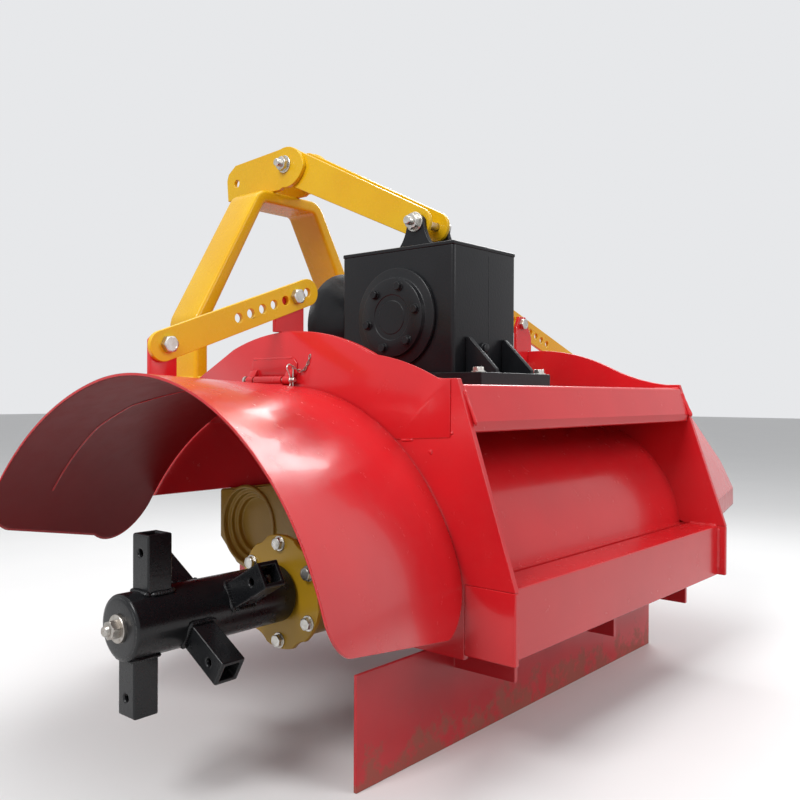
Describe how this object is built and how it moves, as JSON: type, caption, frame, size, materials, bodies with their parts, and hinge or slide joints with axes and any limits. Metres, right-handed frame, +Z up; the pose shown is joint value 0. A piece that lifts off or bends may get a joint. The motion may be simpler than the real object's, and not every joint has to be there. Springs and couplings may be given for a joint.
{
  "type": "vine burying machine",
  "caption": "Tractor-mounted vine burying machine: a mast and three-point hitch carry a gearbox, a hooded soil rotor and a side impeller under a half-round fender.",
  "frame": {"origin": "on the ground under the middle of the bounding box", "axes": "+X back, away from the tractor; +Y away from the fender, to the machine's right when it is seen from behind; +Z up"},
  "size_m": [1.4752, 2.122, 1.561],
  "materials": {
    "red_paint": "gloss",
    "yellow_paint": "gloss",
    "black_paint": "satin",
    "olive_paint": "satin",
    "bare_steel": "satin",
    "dark_steel": "satin"
  },
  "bodies": {
    "frame": {"bearing_flange": "olive_paint", "cross_tube": "dark_steel", "deck_plate": "red_paint", "fender": "red_paint", "fender_hinge_lugs": "red_paint", "fender_hinge_pin": "bare_steel", "front_beam": "red_paint", "gearbox_case": "black_paint", "gearbox_foot": "black_paint", "gearbox_lid": "black_paint", "gearbox_side_cover": "black_paint", "hitch_bracket_left": "red_paint", "hitch_bracket_right": "red_paint", "hitch_pin_left": "bare_steel", "hitch_pin_right": "bare_steel", "input_guard": "black_paint", "link_bar_left": "yellow_paint", "link_bar_right": "yellow_paint", "link_bolt_back": "bare_steel", "link_bolt_front": "bare_steel", "mast": "yellow_paint", "mast_ear_left": "yellow_paint", "mast_ear_right": "yellow_paint", "rear_lower_beam": "red_paint", "rear_upper_beam": "red_paint", "right_bearing": "olive_paint", "right_cover": "red_paint", "rotor_hood": "red_paint", "side_case": "olive_paint", "side_plate_left": "red_paint", "side_plate_right": "red_paint", "stand_sleeve": "red_paint", "stay_bar_left": "yellow_paint", "stay_bar_right": "yellow_paint", "stay_lug_left": "red_paint", "stay_lug_right": "red_paint", "tail_board": "red_paint"},
    "rotor": {"impeller_socket_0": "black_paint", "impeller_socket_1": "black_paint", "impeller_socket_2": "black_paint", "impeller_socket_3": "black_paint", "impeller_socket_4": "black_paint", "impeller_socket_5": "black_paint", "impeller_tube": "black_paint", "rotor_shaft": "bare_steel", "tiller_set_0": "dark_steel", "tiller_set_1": "dark_steel", "tiller_set_2": "dark_steel", "tiller_set_3": "dark_steel", "tiller_set_4": "dark_steel", "tiller_set_5": "dark_steel", "tiller_tube": "dark_steel"},
    "input": {"input_shaft": "bare_steel"},
    "stand": {"stand_leg": "red_paint"}
  },
  "joints": [
    {"name": "rotor_spin", "type": "hinge", "parent": "frame", "child": "rotor", "pos_m": [0.2117, 0, 0.351], "axis": [0, 1, 0], "continuous": true},
    {"name": "input_spin", "type": "hinge", "parent": "frame", "child": "input", "pos_m": [-0.1163, 0.0105, 0.975], "axis": [1, 0, 0], "continuous": true},
    {"name": "stand_slide", "type": "slide", "parent": "frame", "child": "stand", "axis": [0, 0, 1], "range_m": [0, 0.2]}
  ],
  "couplings": [
    {"joint": "input_spin", "follows": "rotor_spin", "ratio": 2.4}
  ]
}
